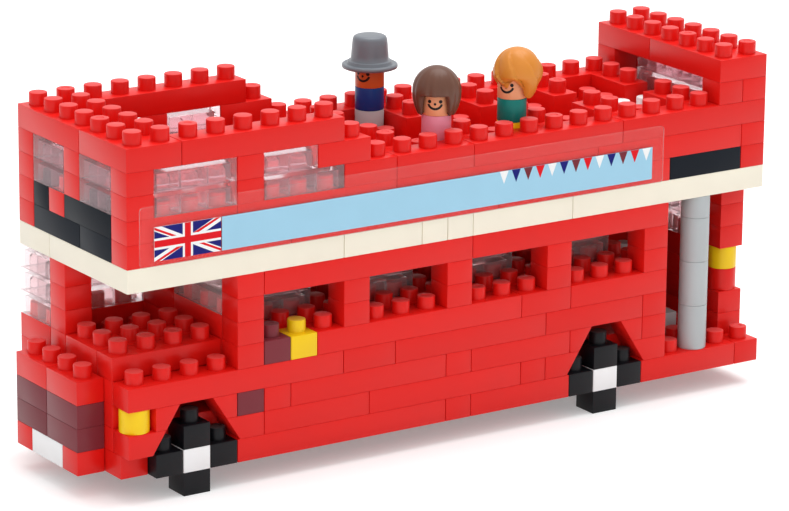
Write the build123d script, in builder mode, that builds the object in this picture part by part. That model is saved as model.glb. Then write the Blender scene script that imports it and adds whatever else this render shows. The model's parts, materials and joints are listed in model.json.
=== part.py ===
from build123d import *
import math
import os

os.makedirs("parts", exist_ok=True)

# Open-top double-deck tour bus, built from small studded toy bricks.
#
# The bus is described on its own brick grid, and the grid is then placed in millimetres:
#   i  grid lines back from the front of the upper deck (0) to the tail (25), the nose is ahead of 0
#   j  grid lines from the left side of the bus (0) to the right side (7)
#   k  courses of bricks, 0 at the top of the cream band, each brick filling k to k + 1
# The lines are one stud apart. A deck of another length or width moves the lines of the saloon
# apart or together, and keeps the cab, the wheels, the platform and the walls as they are.
# In the part's frame +X is forward, +Y is left and +Z is up, with the wheels' feet at Z = 0.

# Driving dimensions, in millimetres
PITCH = 4.0                # from stud to stud
COURSE = 3.1               # height of one brick without its studs
SEAM = 0.1                 # clearance between two bricks side by side
STUD_DIAMETER = 2.4
STUD_HEIGHT = 1.7
STUD_SIDES = 8             # facets of the studs, which repeat too often to be drawn finer
WALL = 0.6                 # wall of a hollow brick
CROWN = 0.8                # top of a hollow brick
ARCH_CLEARANCE = 0.4       # between a wheel arch and the wheel's outer bricks
FILM_THICKNESS = 0.2       # clear banner film
PRINT_THICKNESS = 0.1      # printed panels on the film

# Size of the bus, in studs and courses
DECK_LENGTH = 25
DECK_WIDTH = 7
NOSE_DEPTH = 1             # the radiator stands this far ahead of the upper deck
GROUND = -10               # course of the wheels' feet

# Lines of the grid
LEFT = 0                   # outer line of the left wall
RIGHT = 6                  # inner line of the right wall
TAIL = 25
SALOON = (5, 17)           # lines between which a longer deck is let in
SEATING = (2, 5)           # lines between which a wider deck is let in
AXLES = (2, 18)            # front line of each wheel's hub
SEAT_BACKS = (7, 10, 13, 16, 19, 22)
PAIRS = ((1, 3), (4, 6))   # lines of the two seats on each side of the gangway
POLE = (22.5, 0.5)         # centre of the platform's handrail
STUD_RADIUS = STUD_DIAMETER / 2
ROUND_RADIUS = (PITCH - SEAM) / 2

UP = (Align.CENTER, Align.CENTER, Align.MIN)


def studs_to(line, first, last, added):
    """Studs to a line of the grid, with the added ones let in evenly between two lines."""
    return line + added * min(max((line - first) / (last - first), 0), 1)


def place(i, j, k):
    """Millimetres of a point of the brick grid."""
    back = studs_to(i, *SALOON, DECK_LENGTH - TAIL)
    right = studs_to(j, *SEATING, DECK_WIDTH - (RIGHT + 1))
    middle = (DECK_LENGTH - NOSE_DEPTH) / 2
    return ((middle - back) * PITCH, (DECK_WIDTH / 2 - right) * PITCH, (k - GROUND) * COURSE)


def along(j, *cuts):
    """Bricks one stud wide laid along the bus, from cut to cut."""
    return [(front, back, j, j + 1) for front, back in zip(cuts, cuts[1:])]


def across(i, *cuts):
    """Bricks one stud long laid across the bus, from cut to cut."""
    return [(i, i + 1, left, right) for left, right in zip(cuts, cuts[1:])]


def both(*cuts):
    """The same bricks in the left and right walls."""
    return along(LEFT, *cuts) + along(RIGHT, *cuts)


def pillars(j, *starts):
    """Single bricks in one wall."""
    return [(start, start + 1, j, j + 1) for start in starts]


# Bricks of each course as (first i, last i, first j, last j)
SILL = (
    across(0, 0.5, 2.5, 4.5, 6.5)
    + both(4, 12, 13, 17)
    + [(1, 8, 2, 5), (8, 14, 2, 5), (14, 20, 2, 5)]
    + along(1, 4, 10, 17) + along(5, 4, 10, 17)
    + [(20, 24, 0, 2), (24, 25, 0, 2), (20, 25, 2, 5), (20, 24, 5, 7), (24, 25, 5, 7)]
)
CHASSIS = (
    [(1, 9, 1, 3), (9, 21, 1, 3), (1, 9, 4, 6), (9, 21, 4, 6)]
    + [(1, 6, 3, 4), (6, 14, 3, 4), (14, 21, 3, 4)]
)
SKIRT_LOWER = across(0, 1, 4, 6) + both(5, 9, 15, 16) + along(RIGHT, 21, 24) + across(24, 1, 3, 7)
SKIRT_MIDDLE = (
    across(0, 1, 3, 6) + along(LEFT, 5, 6, 12, 13, 17) + along(RIGHT, 4, 6, 12, 13, 17)
    + both(20, 21) + along(RIGHT, 21, 24) + across(24, 1, 2, 5, 7)
)
SKIRT_UPPER = (
    across(0, 1, 4, 6) + both(0, 8, 10, 16, 20, 21) + along(RIGHT, 21, 24) + across(24, 2, 5, 7)
    + [(1, 4, 4, 6)]
)
WAIST = (
    [(0, 4, 1, 2), (0, 4, 2, 4)] + across(0, 4, 5, 7)
    + along(LEFT, 4, 5) + along(LEFT, 7, 15, 17, 21) + along(RIGHT, 1, 5, 13, 21, 24) + across(24, 2, 4, 7)
)
SALOON_FLOOR = (
    [(4, 12, 1, 3), (12, 21, 1, 3), (4, 12, 4, 6), (12, 21, 4, 6)]
    + [(4, 8, 3, 4), (8, 16, 3, 4), (16, 21, 3, 4)]
)
PILLARS_UPPER = (
    pillars(LEFT, 4, 8, 12, 16, 20) + pillars(RIGHT, 8, 12, 16, 20) + across(0, 4, 5)
    + across(4, 4, 6) + along(RIGHT, 21, 24) + across(24, 1, 2) + across(24, 6, 7)
)
PILLARS_LOWER = PILLARS_UPPER + across(4, 1, 4)
LINTEL = (
    along(LEFT, 4, 5, 13, 21) + along(RIGHT, 5, 13, 21, 24) + across(0, 4, 5) + across(4, 4, 6)
    + across(24, 1, 4, 7)
)
CREAM_BAND = (
    [(0, 8, 0, 5), (0, 8, 5, 7), (8, 11, 0, 2), (11, 12, 0, 2), (12, 13, 0, 2), (13, 17, 0, 2)]
    + [(17, 25, 0, 2), (8, 17, 2, 5), (17, 25, 2, 5), (8, 13, 5, 7), (13, 17, 5, 7), (17, 25, 5, 7)]
)
DECK_WALL = both(0, 6, 14, 21) + both(24, 25) + across(24, 1, 3, 6)
DECK_FLOOR = (
    [(1, 9, 1, 3), (9, 17, 1, 3), (17, 24, 1, 3), (1, 9, 4, 6), (9, 17, 4, 6), (17, 24, 4, 6)]
    + [(1, 5, 3, 4), (5, 13, 3, 4), (13, 21, 3, 4)]
)
ADVERT_WALL = both(0, 4, 10, 18, 24, 25) + across(0, 4, 5) + across(24, 1, 4, 6)
RAIL = both(0, 1) + both(4, 5) + both(8, 10, 13, 19, 25) + across(0, 3, 4) + across(24, 1, 2)
UPPER_POSTS = (
    both(0, 1) + both(4, 5) + both(7, 9) + both(23, 24)
    + across(0, 3, 4) + across(24, 0, 2) + across(24, 6, 7)
)
ROOF_CAPS = [(0, 2, 3, 7), (0, 2, 0, 3), (23, 25, 0, 4), (23, 25, 4, 7)] + both(2, 8)

# Clear bricks: the cab's windows, the posts in the saloon, the bulkhead and the rear windows
SALOON_CLEAR = across(0, 5, 7) + along(RIGHT, 1, 4, 5) + [(i, i + 2, 2, 4) for i in (6, 10, 14, 18)]
SALOON_CLEAR_LOWER = SALOON_CLEAR + across(24, 2, 4, 6)
SALOON_CLEAR_MIDDLE = SALOON_CLEAR + across(4, 1, 4) + across(24, 2, 6)
SALOON_CLEAR_UPPER = SALOON_CLEAR + across(4, 1, 4)
DECK_CLEAR = across(0, 1, 3) + across(0, 4, 6) + both(1, 4)
DECK_CLEAR_LOWER = DECK_CLEAR + both(5, 8) + across(24, 2, 6)
DECK_CLEAR_UPPER = DECK_CLEAR + both(5, 7) + across(24, 2, 4, 6)

# Each group of bricks: node, course, rows, hollow from below, studs shown
GROUPS = (
    ("sill_bricks", -9, SILL, True, True),
    ("chassis_floor_bricks", -8, CHASSIS, False, False),
    ("skirt_lower_bricks", -8, SKIRT_LOWER, False, True),
    ("skirt_middle_bricks", -7, SKIRT_MIDDLE, False, True),
    ("skirt_upper_bricks", -6, SKIRT_UPPER, False, True),
    ("waist_bricks", -5, WAIST, False, True),
    ("saloon_floor_bricks", -5, SALOON_FLOOR, False, False),
    ("pillar_lower_bricks", -4, PILLARS_LOWER, False, True),
    ("pillar_upper_bricks", -3, PILLARS_UPPER, False, True),
    ("lintel_bricks", -2, LINTEL, False, True),
    ("cream_band_bricks", -1, CREAM_BAND, True, False),
    ("deck_wall_bricks", 0, DECK_WALL, False, True),
    ("deck_floor_bricks", 0, DECK_FLOOR, False, False),
    ("advert_wall_bricks", 1, ADVERT_WALL, False, True),
    ("rail_bricks", 2, RAIL, False, True),
    ("upper_post_bricks", 3, UPPER_POSTS, False, True),
    ("roof_cap_bricks", 4, ROOF_CAPS, True, True),
    ("saloon_clear_lower_bricks", -4, SALOON_CLEAR_LOWER, True, False),
    ("saloon_clear_middle_bricks", -3, SALOON_CLEAR_MIDDLE, True, False),
    ("saloon_clear_upper_bricks", -2, SALOON_CLEAR_UPPER, True, False),
    ("deck_window_lower_bricks", 2, DECK_CLEAR_LOWER, True, False),
    ("deck_window_upper_bricks", 3, DECK_CLEAR_UPPER, True, False),
    ("front_panel_lower_bricks", 0, across(0, 1, 3, 6) + both(21, 24), False, True),
    ("front_panel_upper_bricks", 1, across(0, 1, 4) + across(0, 5, 6), False, True),
    ("side_vent_brick", -5, along(LEFT, 5, 6), False, True),
    ("side_flap_brick", -7, along(LEFT, 4, 5), False, True),
    ("side_marker_brick", -5, along(LEFT, 6, 7), False, True),
    ("seat_base_bricks", 1, [(b - 1, b + 1, *pair) for b in SEAT_BACKS for pair in PAIRS], False, False),
    ("seat_back_bricks", 2, [(b, b + 1, *pair) for b in SEAT_BACKS for pair in PAIRS], False, True),
    ("stair_head_brick", 1, [(21, 23, 3, 4)], False, True),
    ("stair_tread_lower_brick", -8, [(21, 23, 2, 5)], False, True),
    ("stair_tread_middle_brick", -7, [(21, 23, 3, 5)], False, True),
    ("stair_tread_upper_brick", -6, [(21, 23, 4, 5)], False, True),
)

# Corner studs of the front of the roof, which a brick pressed on there is measured by, are true rounds
ROUND_STUDS = [(i, j, 4) for i in (0, 1) for j in (LEFT, RIGHT)]

# Bricks whose end slopes back over a wheel: square end, sloped end at the top, sloped end at the foot
ARCH_SLOPES = {
    "skirt_lower_bricks": ((0, 1.5, 1), (5, 3.5, 4), (16, 17.5, 17), (21, 19.5, 20)),
    "skirt_middle_bricks": ((1, 2, 1.5), (4, 3, 3.5), (17, 18, 17.5), (20, 19, 19.5)),
}

# Round bricks: node, centre i, centre j, first k, last k
ROUNDS = (
    ("skirt_upper_bricks", 24.5, 1.5, -6, -5),
    ("lamp_bricks", 0.5, 0.5, -7, -6),
    ("lamp_bricks", 0.5, 6.5, -7, -6),
    ("lamp_bricks", 24.5, 1.5, -5, -4),
    ("pole_lengths_first_third", *POLE, -8, -6),
    ("pole_lengths_second_fourth", *POLE, -6, -4),
    ("pole_lengths_first_third", *POLE, -4, -2),
    ("pole_lengths_second_fourth", *POLE, -2, -1),
)

# Bricks of the radiator nose, half a stud off the grid: node, course, rows across as (first j, last j)
NOSE_FOOT = -9
NOSE_TOP = -6
NOSE = (
    ("nose_red_bricks", NOSE_FOOT, ((1.5, 2.5), (4.5, 5.5))),
    ("number_plate_brick", NOSE_FOOT, ((2.5, 4.5),)),
    ("grille_lower_bricks", -8, ((1.5, 3.5), (3.5, 5.5))),
    ("grille_upper_bricks", -7, ((1.5, 3.5), (3.5, 5.5))),
    ("nose_red_bricks", NOSE_TOP, ((1.5, 3.5), (3.5, 5.5))),
)

# Cells of the grid taken by bricks
TAKEN = {}
for node, course, rows, hollow, studs in GROUPS:
    for i0, i1, j0, j1 in rows:
        for i in range(math.ceil(i0), math.floor(i1)):
            for j in range(math.ceil(j0), math.floor(j1)):
                TAKEN[(i, j, course)] = node
    for square_end, top_end, foot_end in ARCH_SLOPES.get(node, ()):
        first, last = sorted((math.floor(square_end), math.floor(foot_end)))
        for i in range(first, last):
            TAKEN.update({(i, LEFT, course): node, (i, RIGHT, course): node})
for node, i, j, k0, k1 in ROUNDS:
    for k in range(math.floor(k0), math.ceil(k1)):
        TAKEN[(math.floor(i), math.floor(j), k)] = node


def shown(i, j, k):
    """True where nothing stands on a stud of course k."""
    return (i, j, k + 1) not in TAKEN


def add_brick(i0, i1, j0, j1, k, hollow=False):
    """Adds one square brick to the part being built."""
    front, left, foot = place(i0, j0, k)
    back, right, foot = place(i1, j1, k)
    length = front - back - SEAM
    width = left - right - SEAM
    with Locations(((front + back) / 2, (left + right) / 2, foot)):
        Box(length, width, COURSE, align=UP)
        if hollow:
            Box(length - 2 * WALL, width - 2 * WALL, COURSE - CROWN, align=UP, mode=Mode.SUBTRACT)


def add_studs(cells, k):
    """Adds a stud at the middle of each (i, j) cell, on top of course k."""
    if cells:
        with BuildSketch(Plane.XY.offset(place(0, 0, k + 1)[2])) as tops:
            for i, j in cells:
                with Locations(place(i + 0.5, j + 0.5, 0)[:2]):
                    if (i, j, k) in ROUND_STUDS:
                        Circle(STUD_RADIUS)
                    else:
                        RegularPolygon(STUD_RADIUS, STUD_SIDES, rotation=180 / STUD_SIDES)
        extrude(tops.sketch, amount=STUD_HEIGHT)


def add_slope(square_end, top_end, foot_end, j, k):
    """Adds one brick whose end leans back over a wheel."""
    back = 1 if top_end > square_end else -1
    gap = SEAM / 2 / PITCH
    clear = ARCH_CLEARANCE / PITCH
    corners = (
        (square_end + back * gap, k), (foot_end - back * clear, k),
        (top_end - back * clear, k + 1), (square_end + back * gap, k + 1),
    )
    right_face = place(0, j + 1, k)[1] + SEAM / 2
    with BuildSketch(Plane(origin=(0, right_face, 0), x_dir=(1, 0, 0), z_dir=(0, -1, 0))) as profile:
        with BuildLine():
            Polyline(*[place(i, j, z)[::2] for i, z in corners], close=True)
        make_face()
    extrude(profile.sketch, amount=-(PITCH - SEAM))


def add_round(foot, courses=1):
    """Adds one round brick that stands on a point in millimetres."""
    with Locations(foot):
        Cylinder(ROUND_RADIUS, courses * COURSE, align=UP)


def save(part, node):
    part.label = node
    export_step(part, "parts/" + node + ".step")


# Square bricks, course by course, with the arch slopes and round bricks of the same colour
for node, course, rows, hollow, studs in GROUPS:
    with BuildPart() as bricks:
        for row in rows:
            add_brick(*row, course, hollow)
        for slope in ARCH_SLOPES.get(node, ()):
            for wall in (LEFT, RIGHT):
                add_slope(*slope, wall, course)
        for name, i, j, k0, k1 in ROUNDS:
            if name == node:
                add_round(place(i, j, k0), k1 - k0)
        if studs:
            cells = [cell for cell, name in TAKEN.items() if name == node and cell[2] == course]
            add_studs([(i, j) for i, j, k in cells if shown(i, j, k)], course)
    save(bricks.part, node)

# Lamps and the handrail, from round bricks
for node in ("lamp_bricks", "pole_lengths_first_third", "pole_lengths_second_fourth"):
    with BuildPart() as rounds:
        for name, i, j, k0, k1 in ROUNDS:
            if name == node:
                add_round(place(i, j, k0), k1 - k0)
    save(rounds.part, node)

# Radiator nose, with studs on its top course
for node in dict.fromkeys(row[0] for row in NOSE):
    with BuildPart() as nose:
        for name, course, spans in NOSE:
            if name == node:
                for left, right in spans:
                    add_brick(-NOSE_DEPTH, 0, left, right, course, hollow=course == NOSE_FOOT)
                if course == NOSE_TOP:
                    add_studs([(-NOSE_DEPTH, left + n) for left, right in spans for n in (0, 1)], course)
    save(nose.part, node)

# Wheels: four black bricks around a white hub, which reaches in under the chassis
WHEELS = (
    ("front_left_wheel_bricks", AXLES[0], LEFT), ("front_right_wheel_bricks", AXLES[0], RIGHT),
    ("rear_left_wheel_bricks", AXLES[1], LEFT), ("rear_right_wheel_bricks", AXLES[1], RIGHT),
)
HUB_COURSE = GROUND + 1


def inward(wall):
    """The two studs from a wall towards the middle of the bus."""
    return (wall, wall + 2) if wall == LEFT else (wall - 1, wall + 1)


for node, axle, wall in WHEELS:
    with BuildPart() as wheel:
        add_brick(axle, axle + 1, wall, wall + 1, HUB_COURSE + 1)
        add_brick(axle - 1, axle, *inward(wall), HUB_COURSE, hollow=True)
        add_brick(axle + 1, axle + 2, *inward(wall), HUB_COURSE, hollow=True)
        add_brick(axle, axle + 1, wall, wall + 1, GROUND, hollow=True)
        add_studs([(axle, wall)], HUB_COURSE + 1)
        add_studs([(axle - 1, wall), (axle + 1, wall)], HUB_COURSE)
    save(wheel.part, node)

with BuildPart() as hubs:
    for node, axle, wall in WHEELS:
        add_brick(axle, axle + 1, *inward(wall), HUB_COURSE)
save(hubs.part, "wheel_hub_bricks")

# Banner on the left side: a clear film with two printed panels, as (first i, last i, first k, last k)
FILM = (0.45, 20.67, 0.0, 2.5)
FLAG_PANEL = (0.95, 3.36, 0.22, 1.64)
SKY_PANEL = (3.40, 20.18, 0.22, 1.64)


def sheet(i0, i1, k0, k1, inner, thickness):
    """A thin upright sheet on the left wall, its inner face that far out from the bricks."""
    front, wall, foot = place(i0, LEFT, k0)
    back, wall, top = place(i1, LEFT, k1)
    with Locations(((front + back) / 2, wall - SEAM / 2 + inner, foot)):
        Box(front - back, thickness, top - foot, align=(Align.CENTER, Align.MIN, Align.MIN))


with BuildPart() as film:
    sheet(*FILM, 0, FILM_THICKNESS)
save(film.part, "banner_film")

with BuildPart() as flag_panel:
    sheet(*FLAG_PANEL, FILM_THICKNESS, PRINT_THICKNESS)
save(flag_panel.part, "banner_flag_panel")

with BuildPart() as sky_panel:
    sheet(*SKY_PANEL, FILM_THICKNESS, PRINT_THICKNESS)
save(sky_panel.part, "banner_sky_panel")

# Toy riders, each against two lines of the grid: name, i, j, course that the legs stand on,
# studs back from line i, studs right from line j, millimetres by which the legs are taller than a course
RIDERS = (
    ("hat_rider", 13, RIGHT, 2, -0.5, -0.5, 0.4),
    ("bob_rider", 13, LEFT + 1, 2, -0.5, 0.5, 0.0),
    ("swept_rider", 16, LEFT + 1, 2, -0.5, 0.5, 0.7),
)
HEAD_LEVEL = 2             # bricks of legs and body under the head
FACING = {"hat_rider": 28, "bob_rider": 50, "swept_rider": 32}   # degrees turned left from forward
HEADWEAR_BORE = ROUND_RADIUS + 0.05
HEADWEAR_SIDES = 20
# Rings of the hat, as heights above the head's foot and radii
HAT_BRIM = ((2.5, 3.8), (3.1, 3.8))
HAT_BAND = ((3.1, 3.0), (3.5, 3.0))
HAT_CROWN = ((3.5, 2.55), (6.95, 2.2))
# Hair: rider, radius, height above the head's foot, millimetres combed over to the left
HAIR = (("bob_rider", 3.25, 6.4, 0.0), ("swept_rider", 3.45, 6.8, 0.7))
HAIR_FOOT = SEAM
HAIR_TOP = 0.3             # flat of the hair's top, as a share of its radius
FRINGE = 2.4               # height of the fringe above the head's foot
DOME_STEPS = 3             # straight steps in the curve of the hair


def rider_foot(rider, step):
    """Millimetres of the foot of a rider's brick, that many bricks above the seat."""
    i, j, k, back, right, taller = next(row[1:] for row in RIDERS if row[0] == rider)
    x, y, z = place(i, j, k + step)
    return (x - back * PITCH, y - right * PITCH, z + (taller if step else 0))


for rider, *seat, taller in RIDERS:
    with BuildPart() as legs:
        add_round(rider_foot(rider, 0), 1 + taller / COURSE)
    save(legs.part, rider + "_legs")

    with BuildPart() as body:
        add_round(rider_foot(rider, 1))
    save(body.part, rider + "_body")

with BuildPart() as heads:
    for rider, *seat in RIDERS:
        add_round(rider_foot(rider, HEAD_LEVEL))
save(heads.part, "rider_heads")


def head_foot(rider, left=0.0):
    """The plane across the foot of a rider's head, with its x axis the way the rider faces."""
    turn = math.radians(FACING[rider])
    plane = Plane(origin=rider_foot(rider, HEAD_LEVEL), x_dir=(math.cos(turn), math.sin(turn), 0))
    return Plane(origin=plane.origin + left * plane.y_dir, x_dir=plane.x_dir)


def add_rings(foot, rings):
    """Adds a many-sided form that runs straight from ring to ring."""
    sections = []
    for height, radius in rings:
        with BuildSketch(foot.offset(height)) as ring:
            RegularPolygon(radius, HEADWEAR_SIDES)
        sections.append(ring.sketch)
    loft(sections, ruled=True)


def head_bore(foot):
    """Cuts the room for the head out of the part being built."""
    with Locations(foot):
        Cylinder(HEADWEAR_BORE, COURSE, align=UP, mode=Mode.SUBTRACT)


with BuildPart() as hat:
    for rings in (HAT_BRIM, HAT_BAND, HAT_CROWN):
        add_rings(head_foot("hat_rider"), rings)
    head_bore(head_foot("hat_rider"))
save(hat.part, "hat_rider_hat")

for rider, radius, height, combed in HAIR:
    turns = [math.pi / 2 * step / DOME_STEPS for step in range(DOME_STEPS)]
    dome = [(height - radius + radius * math.sin(t), radius * math.cos(t)) for t in turns]
    with BuildPart() as hair:
        add_rings(head_foot(rider, combed), [(HAIR_FOOT, radius), *dome, (height, HAIR_TOP * radius)])
        head_bore(head_foot(rider))
        with Locations(head_foot(rider)):
            face = (Align.MIN, Align.CENTER, Align.MIN)
            Box(radius, 2 * ROUND_RADIUS, FRINGE, align=face, mode=Mode.SUBTRACT)
    save(hair.part, rider + "_hair")
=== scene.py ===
import json
import math
from collections import namedtuple

import bmesh
import bpy
from bpy.props import FloatProperty, FloatVectorProperty, IntProperty, PointerProperty
from mathutils import Matrix, Vector


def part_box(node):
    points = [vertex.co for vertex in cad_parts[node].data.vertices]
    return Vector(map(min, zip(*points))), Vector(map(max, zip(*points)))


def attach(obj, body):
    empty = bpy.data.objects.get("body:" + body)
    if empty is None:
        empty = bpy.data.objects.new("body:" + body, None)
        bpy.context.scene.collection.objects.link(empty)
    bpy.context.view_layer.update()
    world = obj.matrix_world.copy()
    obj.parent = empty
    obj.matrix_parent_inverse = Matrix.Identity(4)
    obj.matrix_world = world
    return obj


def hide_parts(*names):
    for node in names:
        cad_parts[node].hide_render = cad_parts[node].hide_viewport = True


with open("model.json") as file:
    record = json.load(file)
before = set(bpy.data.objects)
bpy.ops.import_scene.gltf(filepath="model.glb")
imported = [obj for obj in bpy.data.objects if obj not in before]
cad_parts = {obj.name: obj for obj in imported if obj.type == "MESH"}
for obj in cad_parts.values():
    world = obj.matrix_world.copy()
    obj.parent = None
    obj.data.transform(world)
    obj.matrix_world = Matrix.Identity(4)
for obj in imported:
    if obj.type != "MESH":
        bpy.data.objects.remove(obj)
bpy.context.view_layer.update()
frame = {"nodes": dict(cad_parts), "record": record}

bl_info = {
    "name": "Brick Tour Bus",
    "version": (1, 0, 0),
    "blender": (4, 5, 0),
    "location": "View3D > Sidebar > Tour Bus",
    "description": "Dresses the toy brick tour bus with moulded bricks, a printed banner and its riders",
    "category": "Add Mesh",
}

MM = 0.001
SLOTS = {row["node"]: row["material_slot"] for row in frame["record"]["subparts"]}
BANNER_NODES = ("banner_film", "banner_flag_panel", "banner_sky_panel")
RIDERS = ("hat_rider", "bob_rider", "swept_rider")
FACING = {"hat_rider": 28, "bob_rider": 50, "swept_rider": 32}   # degrees turned left from forward
HEADWEAR_NODES = ("hat_rider_hat", "bob_rider_hair", "swept_rider_hair")
WELD = 0.001 * MM      # points closer than this are merged
FACES_ALONG = 0.99     # share of a normal or an edge along an axis at which it counts as lying along it


def length(name, description, default):
    """A length of the toy, in metres and shown in the scene's units."""
    return FloatProperty(name=name, description=description, default=default, unit="LENGTH", precision=6)


def colour(name, description, default):
    """The own colour of a plastic, a print or the floor."""
    return FloatVectorProperty(name=name, description=description, default=default, subtype="COLOR", min=0, max=1)


def angle(name, description, degrees):
    """An angle, written in degrees."""
    return FloatProperty(name=name, description=description, default=math.radians(degrees), subtype="ANGLE")


def strength(name, description, default):
    """How strong a light is."""
    return FloatProperty(name=name, description=description, default=default)


class BusBrickSizes(bpy.types.PropertyGroup):
    """Sizes of one moulded brick"""
    pitch: length("Stud pitch", "Distance from stud to stud", 4.0 * MM)
    course: length("Course", "Height of one brick without its studs", 3.1 * MM)
    seam: length("Seam", "Clearance between two bricks side by side", 0.1 * MM)
    stud_radius: length("Stud radius", "Radius of a stud", 1.2 * MM)
    stud_height: length("Stud height", "Height of a stud above its brick", 1.7 * MM)
    stud_edge: length("Stud edge", "Rounding of a stud's top edge", 0.14 * MM)
    gate_radius: length("Gate radius", "Radius of the moulding dimple on some studs", 0.62 * MM)
    gate_depth: length("Gate depth", "Depth of the moulding dimple", 0.12 * MM)
    gate_slope: length("Gate slope", "Width of the dimple's sloping side", 0.15 * MM)
    edge: length("Brick edge", "Rounding of a brick's edges", 0.07 * MM)
    round_edge: length("Round edge", "Rounding of a round brick's edges", 0.098 * MM)
    wall: length("Wall", "Wall of a hollow brick", 0.6 * MM)
    crown: length("Crown", "Top of a hollow brick", 0.8 * MM)
    sink: length("Sink", "How far a stud reaches down into its brick", 0.05 * MM)
    rib: length("Rib", "Thickness of a rib inside a clear brick", 0.35 * MM)
    rib_gap: length("Rib gap", "Room round a rib inside its brick", 0.03 * MM)
    stud_sides: IntProperty(name="Stud sides", description="Facets round a stud", default=20, min=8)
    round_sides: IntProperty(name="Round sides", description="Facets round a round brick", default=48, min=12)


class BusColours(bpy.types.PropertyGroup):
    """Colours of the plastics, the prints and the floor"""
    red: colour("Red", "Body bricks", (0.745, 0.0095, 0.0062))
    cream: colour("Cream", "Band between the decks", (0.90, 0.84, 0.70))
    charcoal: colour("Charcoal", "Destination panels", (0.014, 0.017, 0.023))
    brown: colour("Brown", "Radiator and side bricks", (0.185, 0.026, 0.036))
    yellow: colour("Yellow", "Lamps", (0.92, 0.60, 0.006))
    white: colour("White", "Hubs and number plate", (0.90, 0.905, 0.91))
    grey: colour("Grey", "Handrail and stairs", (0.46, 0.49, 0.50))
    black: colour("Black", "Wheels", (0.006, 0.006, 0.008))
    # The clear plastic is one and the same; its pink tint is painted red light bounced from the bricks round it,
    # and the copy below the deck, deep in shade, is paler: painted light.
    deck_clear_painted_bounce: colour("Deck windows", "Tint of the clear bricks on the deck", (1.0, 0.80, 0.835))
    saloon_clear_painted_light: colour("Saloon windows", "Tint of the clear bricks below the deck", (1.0, 0.89, 0.905))
    hat: colour("Hat", "Grey hat", (0.16, 0.175, 0.20))
    navy: colour("Dark blue", "Body of the rider in the hat", (0.006, 0.042, 0.23))
    pink: colour("Pink", "Body of the rider with the bob", (0.82, 0.28, 0.38))
    teal: colour("Green blue", "Body of the rider with swept hair", (0.002, 0.205, 0.175))
    tan: colour("Tan", "Head under the hat", (0.62, 0.13, 0.030))
    peach: colour("Peach", "Heads under the hair", (0.82, 0.36, 0.18))
    brown_hair: colour("Brown hair", "Bob", (0.125, 0.050, 0.030))
    fair_hair: colour("Fair hair", "Swept hair", (0.66, 0.235, 0.030))
    sky: colour("Light blue", "Banner strip", (0.36, 0.63, 0.80))
    flag_blue: colour("Flag blue", "Field of the flag", (0.010, 0.011, 0.17))
    flag_red: colour("Flag red", "Crosses of the flag", (0.74, 0.006, 0.013))
    face_ink: colour("Face ink", "Print of the riders' faces", (0.012, 0.010, 0.010))
    floor: colour("Floor", "Pale floor", (0.86, 0.86, 0.86))


class BusStage(bpy.types.PropertyGroup):
    """Camera and light"""
    azimuth: angle("Azimuth", "Camera turned from the bus's left side to its front", 33.531)
    elevation: angle("Elevation", "Camera above the horizon", 15.910)
    roll: angle("Roll", "Camera turned about its view", 0.545)
    distance: length("Distance", "Camera to the point it looks at", 0.55077)
    target: FloatVectorProperty(name="Target", description="Point that the camera looks at",
                                default=(-0.00095, 0.0, 0.0223), subtype="TRANSLATION")
    lens: FloatProperty(name="Lens", description="Focal length on a 36 mm sensor, in millimetres", default=188.59)
    sky_top: strength("Sky top", "Strength of the light from overhead", 1.0)
    sky_foot: strength("Sky foot", "Strength of the light from the horizon", 0.20)
    sky_front: strength("Sky front", "Light added from the camera's side", 0.26)
    key: strength("Key", "Strength of the soft light from above", 1.85)
    fill: strength("Fill", "Strength of the soft light from the camera's side", 0.27)
    softness: angle("Softness", "Angle that each soft light fills", 50)
    floor_glow: strength("Floor glow", "White added to the floor where it is seen directly", 0.27)


# Reading the bricks off the CAD solids

Brick = namedtuple("Brick", "low high foot_x top_x is_round")
NEAR = 0.02 * MM       # points closer than this lie on the same face
LEVELS = 20            # steps to a millimetre at which heights are told apart


def solids_of(node):
    """The points of each separate solid of a CAD node."""
    mesh = frame["nodes"][node].data
    keys = [tuple(round(c / MM, 3) for c in vertex.co) for vertex in mesh.vertices]
    parent = {key: key for key in keys}

    def root(key):
        while parent[key] != key:
            parent[key] = parent[parent[key]]
            key = parent[key]
        return key

    for polygon in mesh.polygons:
        first, *others = [keys[index] for index in polygon.vertices]
        for other in others:
            parent[root(other)] = root(first)
    solids = {}
    for key in parent:
        solids.setdefault(root(key), []).append(Vector(key) * MM)
    return list(solids.values())


def read_brick(points, course):
    """One brick's box without studs, the ends of its foot and top along the bus, and whether it is round."""
    low = Vector(min(p[axis] for p in points) for axis in range(3))
    high = Vector(max(p[axis] for p in points) for axis in range(3))
    corners = [p for p in points if abs(p.y - low.y) < NEAR and min(abs(p.x - low.x), abs(p.x - high.x)) < NEAR]
    is_round = not corners
    if not is_round:
        high.z = low.z + course
    foot = [p.x for p in points if abs(p.z - low.z) < NEAR]
    top = [p.x for p in points if abs(p.z - high.z) < NEAR]
    return Brick(low, high, (min(foot), max(foot)), (min(top), max(top)), is_round)


def bricks_of(node, course):
    """The bricks of a CAD node."""
    return [read_brick(points, course) for points in solids_of(node)]


COVERS = {}


def level(z):
    """A height as a whole number, so that equal heights meet."""
    return round(z / MM * LEVELS)


def find_covers(course):
    """Notes every brick that hides what lies under it, by the height of its foot."""
    COVERS.clear()
    for node, slot in SLOTS.items():
        if slot != "clear_brick" and node not in BANNER_NODES + HEADWEAR_NODES:
            for brick in bricks_of(node, course):
                COVERS.setdefault(level(brick.low.z), []).append(brick)


def covered(x, y, z):
    """True where another brick stands on the point."""
    return any(b.low.x < x < b.high.x and b.low.y < y < b.high.y for b in COVERS.get(level(z), ()))


# Modelling helpers

def deselect_all():
    """Leaves edit mode and deselects every object."""
    if bpy.context.mode != "OBJECT":
        bpy.ops.object.mode_set(mode="OBJECT")
    bpy.ops.object.select_all(action="DESELECT")


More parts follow.
